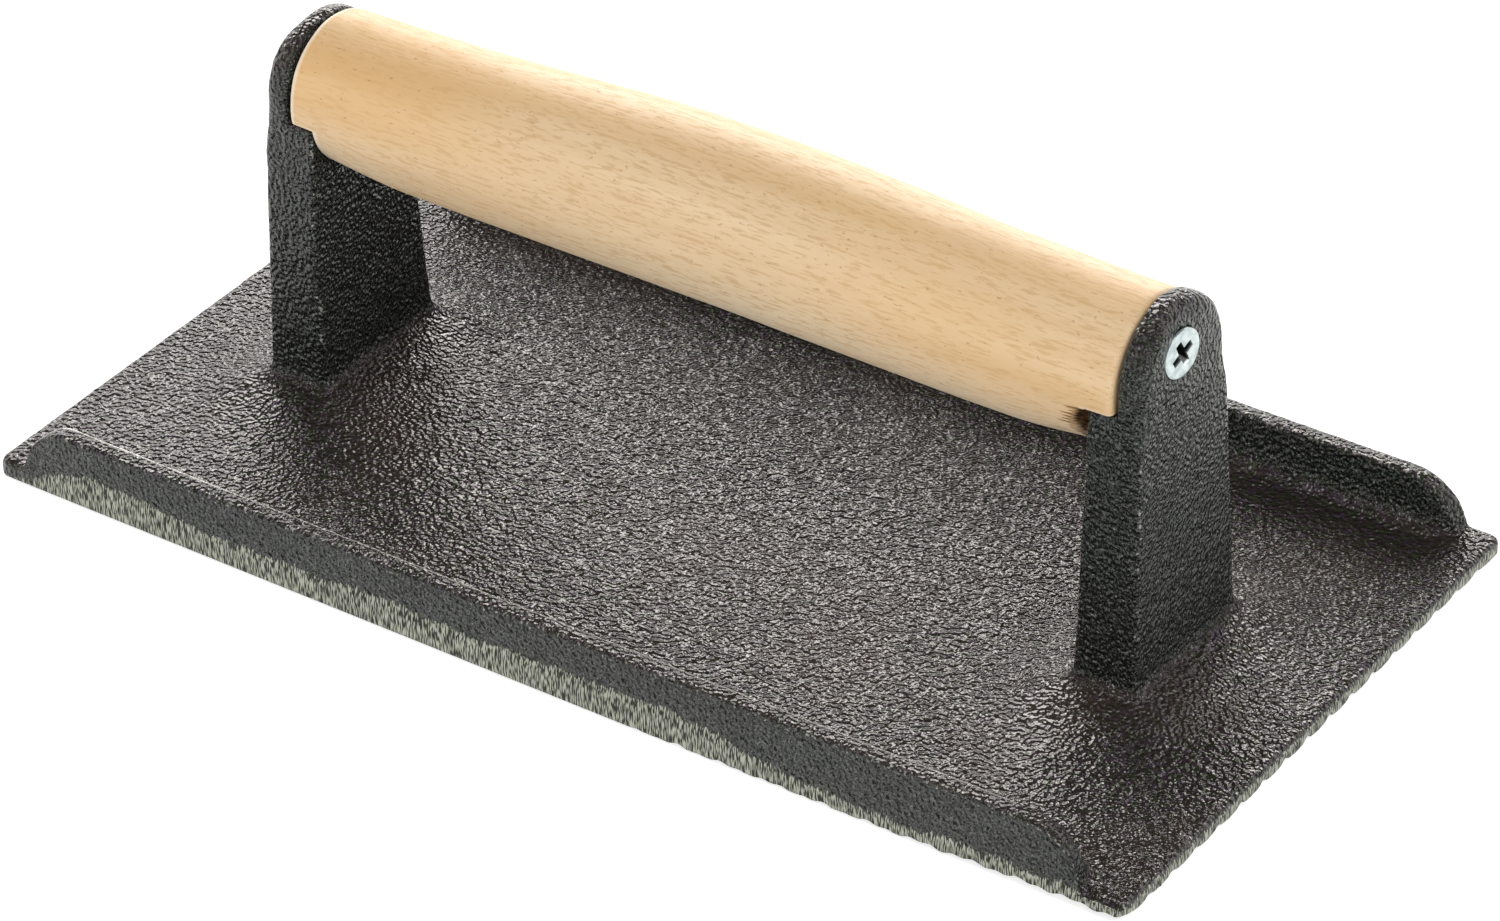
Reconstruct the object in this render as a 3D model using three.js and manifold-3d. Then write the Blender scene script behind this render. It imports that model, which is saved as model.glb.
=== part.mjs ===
// A grill press. One iron casting holds the ribbed plate, a raised lip along each long edge and two posts.
// A shaped wooden grip sits between the posts, its notched ends resting on a ledge on each post.
// A countersunk cross-recess screw passes through each post's flange into the grip.
// Millimetres, +Z up. The origin is the middle of the underside, and +X runs along the grip.
import * as THREE from "three";
import { mergeVertices } from "three/addons/utils/BufferGeometryUtils.js";
import Module from "manifold-3d";

const wasm = await Module();
wasm.setup();

// ---------------------------------------------------------------- driving dimensions

const GAP = 0.3; // clearance kept between pieces that touch

const PLATE_LENGTH = 210;
const PLATE_WIDTH = 110;
const PLATE_THICKNESS = 3.0;
const PLATE_CORNER_RADIUS = 3;
const PLATE_TOP_ROUND = 1.6; // height of the top edge's rounding
const PLATE_TOP_ROUND_REACH = { x: 2.8, y: 1.2 }; // how far it reaches in from each kind of edge
const PLATE_BOTTOM_ROUND = 0.2;

const GROOVE_COUNT = 16; // grooves between the ribs of the underside
const GROOVE_PITCH = 6.43;
const GROOVE_WIDTH = 2.2;
const GROOVE_DEPTH = 1.0;

const LIP_HEIGHT = 11.4; // crest above the underside
const LIP_FOOT_WIDTH = 8.6;
const LIP_ROOT_DEPTH = 0.4; // how far a lip's end sinks below the plate's top
const LIP_END_RUN = 7; // length over which a lip's end falls to the plate
const NEAR_LIP_ENDS = [-97.5, 94.3]; // X where each lip meets the plate
const FAR_LIP_ENDS = [-97, 97];

const POST_OUTER_AT_PLATE = 81.6; // X of a post's outer face where it meets the plate
const POST_OUTER_DRAFT = 0.0125; // how much it leans in for each unit of height
const POST_INNER_AT_PLATE = 70.6;
const POST_INNER_DRAFT = 0.0185;
const POST_HALF_WIDTH_AT_PLATE = 14.5;
const POST_SIDE_DRAFT = 0.0545;
const POST_CORNER_RADIUS = 1.2;
const POST_ROOT_DEPTH = 1; // how far a post's foot sinks into the plate
const POST_FLARE_REACH = 8; // how far a post's foot spreads over the plate
const POST_FLARE_HEIGHT = 3.6;
const LEDGE_HEIGHT = 51.9;
const FLANGE_INNER = 76.1; // X of the flange face that the grip's end meets
const ARCH_CENTRE_LEFT = 54.3; // the casting's two arches differ a little in height
const ARCH_CENTRE_RIGHT = 55.2;
const ARCH_RADIUS = 11.7;
const ARCH_TOP_HALF_WIDTH = 0.5;
const ARCH_EDGE_SHARE = 0.6; // share of an arch slice's half width that its rounded corners may take

const GRIP_END_TOP = 66.1; // height of the grip's top line at its ends
const GRIP_CROWN = 2.5; // rise of the top line at mid length
const GRIP_CROWN_HALF_LENGTH = 68;
const GRIP_BOTTOM = 41.0; // height of the grip's straight bottom line
const GRIP_END_LIFT = 1.5; // rise of the bottom line at the ends
const GRIP_LIFT_START = 56;
const GRIP_SAG = 0.8; // how much lower the bottom line runs in the high X half
const GRIP_SAG_LENGTH = 50; // length over which it gets there
const GRIP_END_CHAMFER = 0.4;
const GRIP_SEGMENTS = 40;

const SCREW_HEIGHT = 59.1;
// How far off centre each side's screw was driven, and how askew, in degrees.
const SCREW_DRIVEN = { "-1": { y: 0, turn: 0 }, 1: { y: -1.3, turn: -6 } };
const SCREW_PROUD = 0.3; // how far the head stands out of the post
const SCREW_HEAD_RADIUS = 4.05;
const SCREW_HEAD_LAND = 0.45;
const SCREW_SHANK_RADIUS = 1.75;
const SCREW_THREAD_RADIUS = 2.15;
const SCREW_THREAD_PITCH = 2.4;
const SCREW_LENGTH = 30;
const SCREW_TIP_LENGTH = 4;
const RECESS_SPAN = 4.6;
const RECESS_ARM = 1.0;
const RECESS_DEPTH = 2.0;

// ---------------------------------------------------------------- materials

const castIron = new THREE.MeshStandardMaterial({ color: 0x3b3835, roughness: 0.62, metalness: 0.6 });
const wood = new THREE.MeshStandardMaterial({ color: 0xe3c79d, roughness: 0.6, metalness: 0 });
const zincPlate = new THREE.MeshStandardMaterial({ color: 0xc6cdd0, roughness: 0.32, metalness: 1 });

// ---------------------------------------------------------------- helpers

// A closed geometry as a solid that can be joined and cut.
function solidFrom(geometry) {
  const bare = geometry.index ? geometry.toNonIndexed() : geometry.clone();
  bare.deleteAttribute("normal");
  bare.deleteAttribute("uv");
  const merged = mergeVertices(bare, 1e-4);
  return new wasm.Manifold(
    new wasm.Mesh({
      numProp: 3,
      vertProperties: merged.attributes.position.array,
      triVerts: new Uint32Array(merged.index.array),
    }),
  );
}

// A joined and cut solid as a named mesh.
function meshFrom(name, solid, material) {
  const { vertProperties, triVerts } = solid.getMesh();
  const geometry = new THREE.BufferGeometry();
  geometry.setAttribute("position", new THREE.BufferAttribute(vertProperties, 3));
  geometry.setIndex(new THREE.BufferAttribute(triVerts, 1));
  geometry.computeVertexNormals();
  const mesh = new THREE.Mesh(geometry, material);
  mesh.name = name;
  return mesh;
}

// A closed body through rings of equal point count. Each ring turns anticlockwise about the way the
// rings advance, and its points can all be seen from their mean.
function loft(rings) {
  const count = rings[0].length;
  const positions = [];
  const addTriangle = (a, b, c) => positions.push(...a.toArray(), ...b.toArray(), ...c.toArray());
  const meanOf = (ring) =>
    ring.reduce((sum, point) => sum.add(point), new THREE.Vector3()).divideScalar(count);
  const first = rings[0];
  const last = rings[rings.length - 1];
  const firstMean = meanOf(first);
  const lastMean = meanOf(last);
  for (let j = 0; j < count; j++) {
    const next = (j + 1) % count;
    addTriangle(firstMean, first[next], first[j]);
    addTriangle(lastMean, last[j], last[next]);
    for (let i = 0; i + 1 < rings.length; i++) {
      addTriangle(rings[i][j], rings[i][next], rings[i + 1][next]);
      addTriangle(rings[i][j], rings[i + 1][next], rings[i + 1][j]);
    }
  }
  const geometry = new THREE.BufferGeometry();
  geometry.setAttribute("position", new THREE.Float32BufferAttribute(positions, 3));
  return solidFrom(geometry);
}

// A level ring round the rectangle x0..x1, y0..y1 with rounded corners.
function roundedRing(x0, x1, y0, y1, radius, z, cornerSteps = 5) {
  const corners = [
    [x1 - radius, y1 - radius, 0],
    [x0 + radius, y1 - radius, Math.PI / 2],
    [x0 + radius, y0 + radius, Math.PI],
    [x1 - radius, y0 + radius, (3 * Math.PI) / 2],
  ];
  return corners.flatMap(([cx, cy, start]) =>
    Array.from({ length: cornerSteps + 1 }, (_, i) => {
      const angle = start + (i / cornerSteps) * (Math.PI / 2);
      return new THREE.Vector3(cx + radius * Math.cos(angle), cy + radius * Math.sin(angle), z);
    }),
  );
}

// A turned solid whose axis lies along X. Its profile lists [x, radius] from low x to high x.
function turned(profile, segments = 24) {
  const points = profile.map(([x, radius]) => new THREE.Vector2(radius, x));
  const geometry = new THREE.LatheGeometry(points, segments);
  geometry.rotateZ(-Math.PI / 2);
  return solidFrom(geometry);
}

function box(x0, x1, y0, y1, z0, z1) {
  const geometry = new THREE.BoxGeometry(x1 - x0, y1 - y0, z1 - z0);
  geometry.translate((x0 + x1) / 2, (y0 + y1) / 2, (z0 + z1) / 2);
  return solidFrom(geometry);
}

const lerp = THREE.MathUtils.lerp;
const smoothstep = THREE.MathUtils.smoothstep;

// ---------------------------------------------------------------- the casting

// The plate, with its top edge rounded more than its bottom edge.
function plateSlab() {
  const layers = [
    [0, PLATE_BOTTOM_ROUND, PLATE_BOTTOM_ROUND],
    [PLATE_BOTTOM_ROUND, 0, 0],
  ];
  const roundSteps = 4;
  for (let i = 0; i <= roundSteps; i++) {
    const angle = (i / roundSteps) * (Math.PI / 2);
    const inset = 1 - Math.cos(angle);
    layers.push([
      PLATE_THICKNESS - PLATE_TOP_ROUND * (1 - Math.sin(angle)),
      PLATE_TOP_ROUND_REACH.x * inset,
      PLATE_TOP_ROUND_REACH.y * inset,
    ]);
  }
  return loft(
    layers.map(([z, insetX, insetY]) => {
      const x = PLATE_LENGTH / 2 - insetX;
      const y = PLATE_WIDTH / 2 - insetY;
      return roundedRing(-x, x, -y, y, PLATE_CORNER_RADIUS - insetY, z);
    }),
  );
}

// A lip along one long edge: side is -1 at low Y and 1 at high Y. Its ends fall to the plate in a
// quarter of an ellipse.
function lip(side, [lowEnd, highEnd]) {
  const top = PLATE_THICKNESS;
  const root = top - LIP_ROOT_DEPTH;
  // Distance in from the plate's edge, and height at full section.
  const section = [
    [0, 1],
    [LIP_FOOT_WIDTH, 1],
    [LIP_FOOT_WIDTH, top - 0.05],
    [6.6, top + 0.3],
    [5.4, top + 1.1],
    [4.7, top + 2.6],
    [4.1, LIP_HEIGHT - 1.3],
    [3.7, LIP_HEIGHT - 0.4],
    [2.9, LIP_HEIGHT],
    [1.8, LIP_HEIGHT],
    [0.95, LIP_HEIGHT - 0.4],
    [0.5, LIP_HEIGHT - 1.2],
    [0, 1.8],
  ];
  const fallSteps = 8;
  const stations = [];
  for (let i = 0; i <= fallSteps; i++) {
    const angle = (i / fallSteps) * (Math.PI / 2);
    stations.push([lowEnd + LIP_END_RUN * (1 - Math.cos(angle)), Math.sin(angle)]);
  }
  for (let i = 0; i <= fallSteps; i++) {
    const angle = (i / fallSteps) * (Math.PI / 2);
    stations.push([highEnd - LIP_END_RUN * (1 - Math.sin(angle)), Math.cos(angle)]);
  }
  const rings = stations.map(([x, fullness]) => {
    const ring = section.map(([inset, full]) => {
      const z = full <= root ? full : lerp(root, full, fullness);
      return new THREE.Vector3(x, side * (PLATE_WIDTH / 2 - inset), z);
    });
    return side < 0 ? ring : ring.reverse();
  });
  return loft(rings);
}

const postOuterAt = (z) => POST_OUTER_AT_PLATE - POST_OUTER_DRAFT * (z - PLATE_THICKNESS);
const postInnerAt = (z) => POST_INNER_AT_PLATE + POST_INNER_DRAFT * (z - PLATE_THICKNESS);
const postHalfWidthAt = (z) => POST_HALF_WIDTH_AT_PLATE - POST_SIDE_DRAFT * (z - PLATE_THICKNESS);

// A post: a tapered block flaring into the plate, a ledge, then a thinner flange with a round top.
function post(side) {
  const archCentre = side < 0 ? ARCH_CENTRE_LEFT : ARCH_CENTRE_RIGHT;
  const rings = [];
  const addRing = (inner, outer, halfWidth, radius, z) => {
    const [low, high] = side > 0 ? [inner, outer] : [-outer, -inner];
    rings.push(roundedRing(low, high, -halfWidth, halfWidth, radius, z));
  };
  const addBlockRing = (z, flare) =>
    addRing(
      postInnerAt(z) - flare,
      postOuterAt(z) + flare,
      postHalfWidthAt(z) + flare,
      POST_CORNER_RADIUS + flare,
      z,
    );

  const addArchRing = (z, halfWidth) => {
    const radius = Math.min(POST_CORNER_RADIUS, halfWidth * ARCH_EDGE_SHARE);
    addRing(FLANGE_INNER, postOuterAt(z), halfWidth, radius, z);
  };

  addBlockRing(PLATE_THICKNESS - POST_ROOT_DEPTH, POST_FLARE_REACH);
  const flareSteps = 7;
  for (let i = 0; i <= flareSteps; i++) {
    const rise = i / flareSteps;
    addBlockRing(PLATE_THICKNESS + POST_FLARE_HEIGHT * rise, POST_FLARE_REACH * (1 - rise) ** 3);
  }
  addBlockRing(LEDGE_HEIGHT, 0);
  addRing(
    FLANGE_INNER,
    postOuterAt(LEDGE_HEIGHT),
    postHalfWidthAt(LEDGE_HEIGHT),
    POST_CORNER_RADIUS,
    LEDGE_HEIGHT,
  );
  const archSteps = 12;
  for (let i = 0; i < archSteps; i++) {
    const angle = (i / archSteps) * (Math.PI / 2);
    const z = archCentre + ARCH_RADIUS * Math.sin(angle);
    const halfWidth = ARCH_RADIUS * Math.cos(angle);
    addArchRing(z, halfWidth);
  }
  addArchRing(archCentre + ARCH_RADIUS, ARCH_TOP_HALF_WIDTH);
  return loft(rings);
}

// One groove of the underside: a V that runs past both ends of the plate.
function groove(y) {
  const outline = new THREE.Shape([
    new THREE.Vector2(-GROOVE_WIDTH * 0.75, GROOVE_DEPTH * 0.5),
    new THREE.Vector2(GROOVE_WIDTH * 0.75, GROOVE_DEPTH * 0.5),
    new THREE.Vector2(0, -GROOVE_DEPTH),
  ]);
  const length = PLATE_LENGTH + 10;
  const geometry = new THREE.ExtrudeGeometry(outline, { depth: length, bevelEnabled: false });
  geometry.rotateZ(Math.PI);
  geometry.rotateX(Math.PI / 2);
  geometry.rotateZ(Math.PI / 2);
  geometry.translate(-length / 2, y, 0);
  return solidFrom(geometry);
}

const HEAD_TOP = postOuterAt(SCREW_HEIGHT) + SCREW_PROUD; // X of the top of a screw's head
const CONE_START = HEAD_TOP - SCREW_HEAD_LAND;
const CONE_END = CONE_START - (SCREW_HEAD_RADIUS - SCREW_SHANK_RADIUS);

// The countersunk hole through a flange, a little wider than the screw all round.
function screwHole(side) {
  const wide = SCREW_HEAD_RADIUS + GAP;
  const narrow = SCREW_THREAD_RADIUS + GAP;
  const hole = turned([
    [FLANGE_INNER - 2, 0],
    [FLANGE_INNER - 2, narrow],
    [CONE_START - (wide - narrow), narrow],
    [CONE_START, wide],
    [HEAD_TOP + 3, wide],
    [HEAD_TOP + 3, 0],
  ]);
  return placed(hole, side);
}

// A solid made on the X axis as for the high X end, moved to where a side's screw was driven.
function placed(solid, side) {
  const { y, turn } = SCREW_DRIVEN[side];
  const askew = solid.translate([-HEAD_TOP, 0, 0]).rotate([0, 0, turn]).translate([HEAD_TOP, 0, 0]);
  return (side > 0 ? askew : askew.rotate([0, 0, 180])).translate([0, y, SCREW_HEIGHT]);
}

function castBody() {
  let body = plateSlab().add(lip(-1, NEAR_LIP_ENDS)).add(lip(1, FAR_LIP_ENDS));
  for (let i = 0; i < GROOVE_COUNT; i++) {
    body = body.subtract(groove((i - (GROOVE_COUNT - 1) / 2) * GROOVE_PITCH));
  }
  for (const side of [-1, 1]) body = body.add(post(side)).subtract(screwHole(side));
  return body;
}

// ---------------------------------------------------------------- the grip

function gripTopAt(x) {
  const reach = Math.min(Math.abs(x) / GRIP_CROWN_HALF_LENGTH, 1);
  return GRIP_END_TOP + GRIP_CROWN * Math.cos((reach * Math.PI) / 2) ** 2;
}

function gripBottomAt(x) {
  const lift = GRIP_END_LIFT * smoothstep(Math.abs(x), GRIP_LIFT_START, FLANGE_INNER);
  return GRIP_BOTTOM + lift - GRIP_SAG * smoothstep(x, 0, GRIP_SAG_LENGTH);
}

function gripRing(x, inset) {
  const centre = (gripTopAt(x) + gripBottomAt(x)) / 2;
  const radius = (gripTopAt(x) - gripBottomAt(x)) / 2 - inset;
  return Array.from({ length: GRIP_SEGMENTS }, (_, i) => {
    const angle = (i / GRIP_SEGMENTS) * 2 * Math.PI;
    return new THREE.Vector3(x, radius * Math.cos(angle), centre + radius * Math.sin(angle));
  });
}

function woodHandle() {
  const end = FLANGE_INNER - GAP;
  const straight = end - GRIP_END_CHAMFER;
  const bodySteps = 18;
  const rings = [gripRing(-end, GRIP_END_CHAMFER)];
  for (let i = 0; i <= bodySteps; i++) rings.push(gripRing(lerp(-straight, straight, i / bodySteps), 0));
  rings.push(gripRing(end, GRIP_END_CHAMFER));
  let grip = loft(rings);
  for (const side of [-1, 1]) {
    const notch = postInnerAt(LEDGE_HEIGHT) - GAP;
    const [low, high] = side > 0 ? [notch, end + 5] : [-end - 5, -notch];
    grip = grip.subtract(box(low, high, -20, 20, GRIP_BOTTOM - 5, LEDGE_HEIGHT + GAP));
    const pilotRadius = SCREW_THREAD_RADIUS + GAP;
    const pilot = turned([
      [HEAD_TOP - SCREW_LENGTH - 1, 0],
      [HEAD_TOP - SCREW_LENGTH - 1, pilotRadius * 0.4],
      [HEAD_TOP - SCREW_LENGTH + SCREW_TIP_LENGTH, pilotRadius],
      [end + 2, pilotRadius],
      [end + 2, 0],
    ]);
    grip = grip.subtract(placed(pilot, side));
  }
  return grip;
}

// ---------------------------------------------------------------- the screws

function screw(side) {
  const tip = HEAD_TOP - SCREW_LENGTH;
  const threadEnd = CONE_END - 4;
  const profile = [[tip, 0]];
  const threadCount = Math.floor((threadEnd - tip) / SCREW_THREAD_PITCH);
  for (let i = 0; i < threadCount; i++) {
    const x = tip + (i + 0.5) * SCREW_THREAD_PITCH;
    const taper = Math.min((x - tip) / SCREW_TIP_LENGTH, 1);
    profile.push([x - SCREW_THREAD_PITCH * 0.3, SCREW_SHANK_RADIUS * taper * 0.85]);
    profile.push([x, SCREW_THREAD_RADIUS * taper]);
    profile.push([x + SCREW_THREAD_PITCH * 0.3, SCREW_SHANK_RADIUS * Math.min(taper * 1.1, 1)]);
  }
  profile.push([CONE_END, SCREW_SHANK_RADIUS]);
  profile.push([CONE_START, SCREW_HEAD_RADIUS]);
  profile.push([HEAD_TOP - 0.1, SCREW_HEAD_RADIUS]);
  profile.push([HEAD_TOP, SCREW_HEAD_RADIUS - 0.15]);
  profile.push([HEAD_TOP, 0]);
  let body = turned(profile);
  // The cross recess: two crossed wedges that narrow towards the bottom.
  for (const turn of [0, 90]) {
    const wedge = new THREE.CylinderGeometry(RECESS_SPAN / Math.SQRT2, 0.6, RECESS_DEPTH + 0.5, 4);
    wedge.rotateY(Math.PI / 4);
    wedge.scale(1, 1, RECESS_ARM / RECESS_SPAN);
    wedge.rotateZ(-Math.PI / 2);
    wedge.rotateX(THREE.MathUtils.degToRad(turn));
    wedge.translate(HEAD_TOP + 0.5 - (RECESS_DEPTH + 0.5) / 2, 0, 0);
    body = body.subtract(solidFrom(wedge));
  }
  return placed(body, side);
}

// ---------------------------------------------------------------- the press

const press = new THREE.Group();
press.add(meshFrom("cast_body", castBody(), castIron));
press.add(meshFrom("wood_handle", woodHandle(), wood));
press.add(meshFrom("screw_left", screw(-1), zincPlate));
press.add(meshFrom("screw_right", screw(1), zincPlate));

export default press;
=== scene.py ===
"""A cast iron bacon press: a rough casting, a wooden grip between its posts, and two screws."""

import itertools
import math

import bmesh
import bpy
import numpy as np
from mathutils import Matrix, Vector


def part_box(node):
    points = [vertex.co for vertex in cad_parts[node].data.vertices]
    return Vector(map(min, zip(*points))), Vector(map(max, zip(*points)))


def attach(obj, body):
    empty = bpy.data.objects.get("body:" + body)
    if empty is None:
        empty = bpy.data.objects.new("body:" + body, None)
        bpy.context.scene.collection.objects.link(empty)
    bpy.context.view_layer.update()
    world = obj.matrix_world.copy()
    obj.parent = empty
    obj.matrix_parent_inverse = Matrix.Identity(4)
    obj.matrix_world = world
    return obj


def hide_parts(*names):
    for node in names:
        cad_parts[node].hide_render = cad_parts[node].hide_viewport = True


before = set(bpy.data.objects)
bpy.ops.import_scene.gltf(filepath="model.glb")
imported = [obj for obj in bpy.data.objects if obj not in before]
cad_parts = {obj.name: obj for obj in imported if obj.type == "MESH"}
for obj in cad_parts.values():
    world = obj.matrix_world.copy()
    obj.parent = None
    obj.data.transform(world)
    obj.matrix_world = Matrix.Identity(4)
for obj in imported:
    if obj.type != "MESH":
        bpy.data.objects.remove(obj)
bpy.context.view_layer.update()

# Lengths are in millimetres until a mesh is made, when they are scaled to metres.
MM = 0.001
BODY = "root"


# ---------------------------------------------------------------- sizes read from the frame


def corners(node):
    """Lowest and highest corner of a CAD node, in millimetres."""
    low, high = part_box(node)
    return np.array(low) / MM, np.array(high) / MM


_, CAST_HIGH = corners("cast_body")
GRIP_LOW, GRIP_HIGH = corners("wood_handle")
SCREW_LOW, SCREW_HIGH = corners("screw_left")  # the left screw is straight

HALF_LENGTH = CAST_HIGH[0]  # of the plate
HALF_WIDTH = CAST_HIGH[1]
GRIP_END = GRIP_HIGH[0]
GRIP_TOP = GRIP_HIGH[2]
SCREW_HEIGHT = (SCREW_LOW[2] + SCREW_HIGH[2]) / 2
SCREW_FACE = -SCREW_LOW[0]  # distance from the middle to the top of a screw's head
SCREW_TIP = -SCREW_HIGH[0]
HEAD_RADIUS = (SCREW_HIGH[2] - SCREW_LOW[2]) / 2

# ---------------------------------------------------------------- other sizes

PLATE_TOP = 3.0  # height of its upper face
PLATE_CORNER = 2.0  # radius of its corners, seen from above
END_ROUND_HEIGHT = 0.8  # rounding of the top edge at the plate's short ends
END_ROUND_REACH = 1.1
SIDE_ROUND_HEIGHT = 0.7  # and along its long sides
SIDE_ROUND_REACH = 1.0

RIB_PITCH = 6.43  # across the underside
GROOVE_COUNT = 16
GROOVE_DEPTH = 1.3
FAR_SHOULDER = 5.5  # how sharply a groove's walls turn, as exponents
NEAR_SHOULDER = 3.2

LIP_RUN = 7.0  # length over which a lip's end falls to the plate
LIP_FOOT_WIDTH = 8.6
LIP_FOOT = 0.9  # height of a lip's lowest points, inside the plate
LIP_ROOT_DEPTH = 0.4  # how far a lip's end sinks below the plate's top
LIP_END_LEAN = 2.2  # how much further along its outer side runs than its inner side
LIP_TOP = 11.5
NEAR_LIP_ENDS = (-97.5, 95.5)  # X of the ends of each lip
FAR_LIP_ENDS = (-97.0, 97.0)
CREST_INSET = 3.9  # from the plate's edge to the inner edge of a lip's crest

POST_OUTER = 81.6  # X of a post's outer face where it meets the plate
POST_OUTER_DRAFT = 0.0125  # how much it leans in, in mm to the mm of height
POST_INNER = 70.6
POST_INNER_DRAFT = 0.0185
POST_HALF_WIDTH = 14.5
POST_SIDE_DRAFT = 0.0545
POST_ROOT = 1.0  # height, inside the plate, where a post starts
POST_CORNER = 0.7
POST_FILLET = 2.4  # radius of the fillet round a post's foot
LEDGE = 51.9  # height of the ledge that carries the grip
FLANGE_INNER = 76.4  # X of the flange face at the grip's end
FLANGE_EDGE = 0.3  # rounding of the corners beside the grip's ends
ARCH_CENTRE = {-1: 54.3, 1: 55.2}  # height of the arch's centre on the left and on the right
ARCH_RADIUS = 11.7
ARCH_CORNER = 2.2  # rounding of the arch's outer edge
ARCH_TOP_HALF_WIDTH = 0.4
CLEARANCE = 0.3
NOTCH_WALL = POST_INNER + POST_INNER_DRAFT * (LEDGE - PLATE_TOP) - CLEARANCE

SIDE_DRAFT = 0.06  # how much the long sides lean in, in mm to the mm of height
MOUND_HEIGHT = 2.1  # of the soft rise of the plate round each post
MOUND_REACH = 11.0

END_BAND = 2.4  # height of the ground strip on the short edges
SIDE_BAND = 5.3  # and on the long sides
SIDE_BAND_DIP = 2.6  # how much lower it runs right of the middle
SIDE_BAND_RISE = 1.0  # and how much it rises again towards the right end
CORNER_GRIND = 0.8  # how far grinding has raised the bottom edge at the near right corner
GRIND_RIPPLE = 0.35

VOXEL = 0.4  # of the remesh that makes one skin of the casting
SMOOTHING_PASSES = 2
LUMP_HEIGHT = 0.07  # of the casting's surface
LUMP_WIDTH = 8.0
PEBBLE_HEIGHT = 0.075
PEBBLE_WIDTH = 2.1
SKIN_HEIGHT = 0.66  # of the finer bumps, which are in the material
SKIN_WIDTH = 0.67
GRIT_HEIGHT = 0.10
GRIT_AND_GLINT_WIDTH = 0.34
STREAK_HEIGHT = 0.05  # of the marks of grinding
WEAR_AND_HIGHLIGHT_PASSES = 6  # how far from an outer edge its wear and painted highlight reach
MOST_WEAR_AND_HIGHLIGHT = 0.25
POST_WEAR_AND_HIGHLIGHT_START = 14  # height above which the posts' corners are worn and painted with highlight more
CREST_HIGHLIGHT = (-97, 85)  # X of the ends of the painted highlight line on the near lip's crest

GRIP_CROWN = 2.5  # rise of the grip's top line at mid length
GRIP_CROWN_HALF_LENGTH = 68.0
GRIP_END_LIFT = 1.5  # rise of its bottom line at the ends
GRIP_LIFT_START = 56.0
GRIP_SAG = 0.8  # how much lower the bottom line runs in the right half
GRIP_SAG_LENGTH = 50.0
GRIP_BOTTOM = GRIP_LOW[2] + GRIP_SAG  # height of the bottom line left of the middle
GRIP_END_ROUND = 0.9
GRIP_SEGMENTS = 112
GRIP_WOBBLE = 0.12  # unevenness from sanding by hand

SCREW_Y = {-1: 0.0, 1: -1.3}  # off centre, on the left and on the right
SCREW_TURN = {-1: 0.0, 1: -6.0}  # degrees askew
HEAD_LAND = 0.45  # depth of the head's straight rim
HEAD_GAP = 0.15  # between the head and its countersink
THREAD_RADIUS = 2.15
SHANK_RADIUS = 1.75
THREAD_PITCH = 2.4
PLAIN_SHANK = 4  # length of the shank between the head and the thread
SCREW_TIP_LENGTH = 4
RECESS_SPAN = 4.6  # across the cross
RECESS_ARM = 1.3  # width of its arms
RECESS_DEPTH = 2.0
RECESS_TURN = 27  # degrees about the screw's axis


# ---------------------------------------------------------------- helpers


def smoothstep(low, high, value):
    share = np.clip((value - low) / (high - low), 0, 1)
    return share * share * (3 - 2 * share)


def lattice_noise(points, seed):
    """Smooth noise from about -1 to 1 at the rows of points, with one cell to the unit."""
    cell = np.floor(points).astype(np.int64)
    local = points - cell
    fade = local**3 * (local * (local * 6 - 15) + 10)
    total = np.zeros(len(points))
    for corner in itertools.product((0, 1), repeat=3):
        offset = np.array(corner)
        key = (cell + offset) * np.array([73856093, 19349663, 83492791])
        mixed = (key[:, 0] ^ key[:, 1] ^ key[:, 2] ^ (seed * 2654435761)) & 0x7FFFFFFF
        mixed = ((mixed ^ (mixed >> 13)) * 1274126177) & 0x7FFFFFFF
        mixed ^= mixed >> 15
        slope = np.stack([mixed & 255, (mixed >> 8) & 255, (mixed >> 16) & 255], axis=1) / 127.5 - 1
        weight = np.prod(np.where(offset == 1, fade, 1 - fade), axis=1)
        total += weight * np.sum(slope * (local - offset), axis=1)
    return total * 1.2


def fractal_noise(points, wavelength, octaves, seed):
    """Noise of several sizes, the largest as wide as wavelength, in millimetres."""
    total = np.zeros(len(points))
    strength = 1.0
    for octave in range(octaves):
        total += strength * lattice_noise(points / wavelength, seed + octave)
        wavelength /= 2
        strength /= 2
    return total


def new_object(name, points, faces):
    """A mesh object from points in millimetres."""
    mesh = bpy.data.meshes.new(name)
    mesh.from_pydata(np.asarray(points) * MM, [], faces)
    shell = bmesh.new()
    shell.from_mesh(mesh)
    bmesh.ops.recalc_face_normals(shell, faces=shell.faces)
    shell.to_mesh(mesh)
    shell.free()
    made = bpy.data.objects.new(name, mesh)
    bpy.context.scene.collection.objects.link(made)
    return made


def loft(name, rings):
    """A closed body through rings of equal point count."""
    count = len(rings[0])
    faces = [list(range(count))[::-1]]
    for i in range(len(rings) - 1):
        for j in range(count):
            k = (j + 1) % count
            faces.append([i * count + j, i * count + k, (i + 1) * count + k, (i + 1) * count + j])
    faces.append([(len(rings) - 1) * count + j for j in range(count)])
    return new_object(name, np.concatenate(rings), faces)


def revolve(name, profile, segments):
    """A turned body about X. profile lists (x, radius), from an end on the axis to an end on the axis."""
    angles = np.arange(segments) / segments * math.tau
    points = [(profile[0][0], 0, 0)]
    for x, radius in profile[1:-1]:
        points += [(x, radius * math.cos(a), radius * math.sin(a)) for a in angles]
    points.append((profile[-1][0], 0, 0))
    faces = []
    for j in range(segments):
        k = (j + 1) % segments
        faces.append([0, 1 + k, 1 + j])
        for i in range(len(profile) - 3):
            a = 1 + i * segments
            faces.append([a + j, a + k, a + segments + k, a + segments + j])
        last = 1 + (len(profile) - 3) * segments
        faces.append([last + j, last + k, len(points) - 1])
    return new_object(name, points, faces)


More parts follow.
